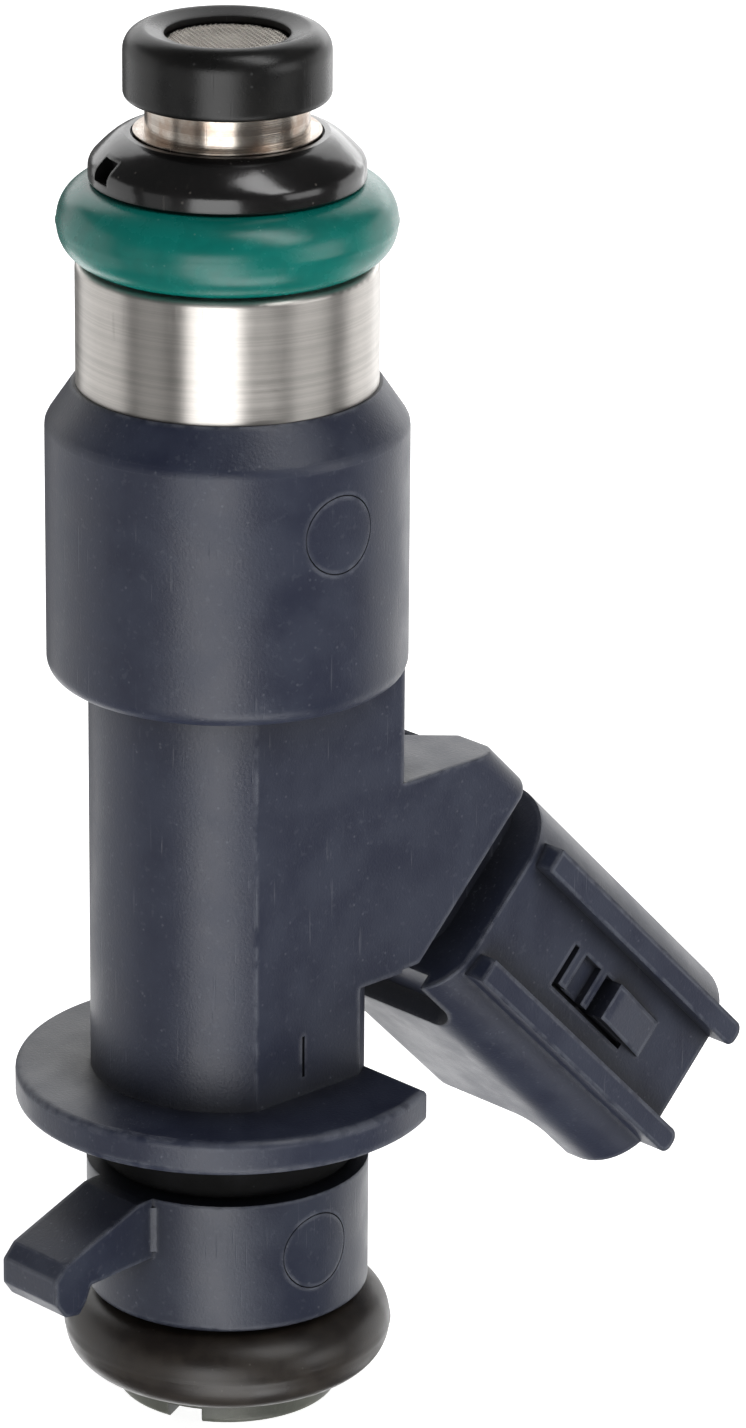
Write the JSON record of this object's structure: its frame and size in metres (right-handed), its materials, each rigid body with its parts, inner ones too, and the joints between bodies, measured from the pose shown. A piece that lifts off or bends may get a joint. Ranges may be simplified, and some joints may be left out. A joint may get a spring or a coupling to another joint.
{
  "type": "fuel injector",
  "caption": "Port fuel injector: moulded body with an angled two-pin connector, steel upper sleeve, O-ring seals at both ends, and a solenoid needle valve inside.",
  "frame": {"origin": "on the injector's axis at the tip of the nozzle", "axes": "+Z along the axis towards the fuel inlet, +X towards the side the connector is on, the connector's lock faces -Y"},
  "size_m": [0.0392, 0.0186, 0.0623],
  "materials": {
    "cap_plastic": "satin black",
    "screen_mesh": "woven mesh",
    "basket_plastic": "natural moulded",
    "tube_steel": "drawn",
    "collar_plastic": "gloss black",
    "rail_rubber": "smooth teal green",
    "sleeve_steel": "turned",
    "body_plastic": "satin slate blue",
    "terminal_brass": "tin over brass",
    "bobbin_plastic": "moulded",
    "winding_copper": "enamelled copper wire",
    "magnet_steel": "machined",
    "gap_steel": "machined",
    "spring_steel": "drawn wire",
    "needle_steel": "ground",
    "ball_steel": "polished",
    "valve_steel": "machined",
    "seat_steel": "ground",
    "plate_steel": "etched",
    "sleeve_plastic": "satin slate blue",
    "cushion_rubber": "matte black",
    "manifold_rubber": "smooth brown black",
    "nozzle_plastic": "grey moulded"
  },
  "bodies": {
    "housing": {"filter_cap": "cap_plastic", "inlet_screen": "screen_mesh", "filter_basket": "basket_plastic", "inlet_tube": "tube_steel", "seal_collar": "collar_plastic", "rail_o_ring": "rail_rubber", "rail_sleeve": "sleeve_steel", "body_moulding": "body_plastic", "terminal_1": "terminal_brass", "terminal_2": "terminal_brass", "coil_bobbin": "bobbin_plastic", "coil_winding": "winding_copper", "coil_can": "magnet_steel", "flux_washer": "magnet_steel", "fixed_core": "magnet_steel", "gap_ring": "gap_steel", "adjuster_tube": "tube_steel", "return_spring": "spring_steel", "needle_guide": "tube_steel", "valve_body": "valve_steel", "valve_seat": "seat_steel", "spray_plate": "plate_steel", "locating_sleeve": "sleeve_plastic", "cushion_ring": "cushion_rubber", "manifold_o_ring": "manifold_rubber", "nozzle_cap": "nozzle_plastic"},
    "needle_set": {"armature": "magnet_steel", "valve_needle": "needle_steel", "valve_ball": "ball_steel"}
  },
  "joints": [
    {"name": "needle_lift", "type": "slide", "parent": "housing", "child": "needle_set", "axis": [0, 0, 1], "range_m": [0, 0.00008], "stiffness_N_per_m": 200, "springref_m": -0.005, "deforming": ["return_spring"]}
  ]
}
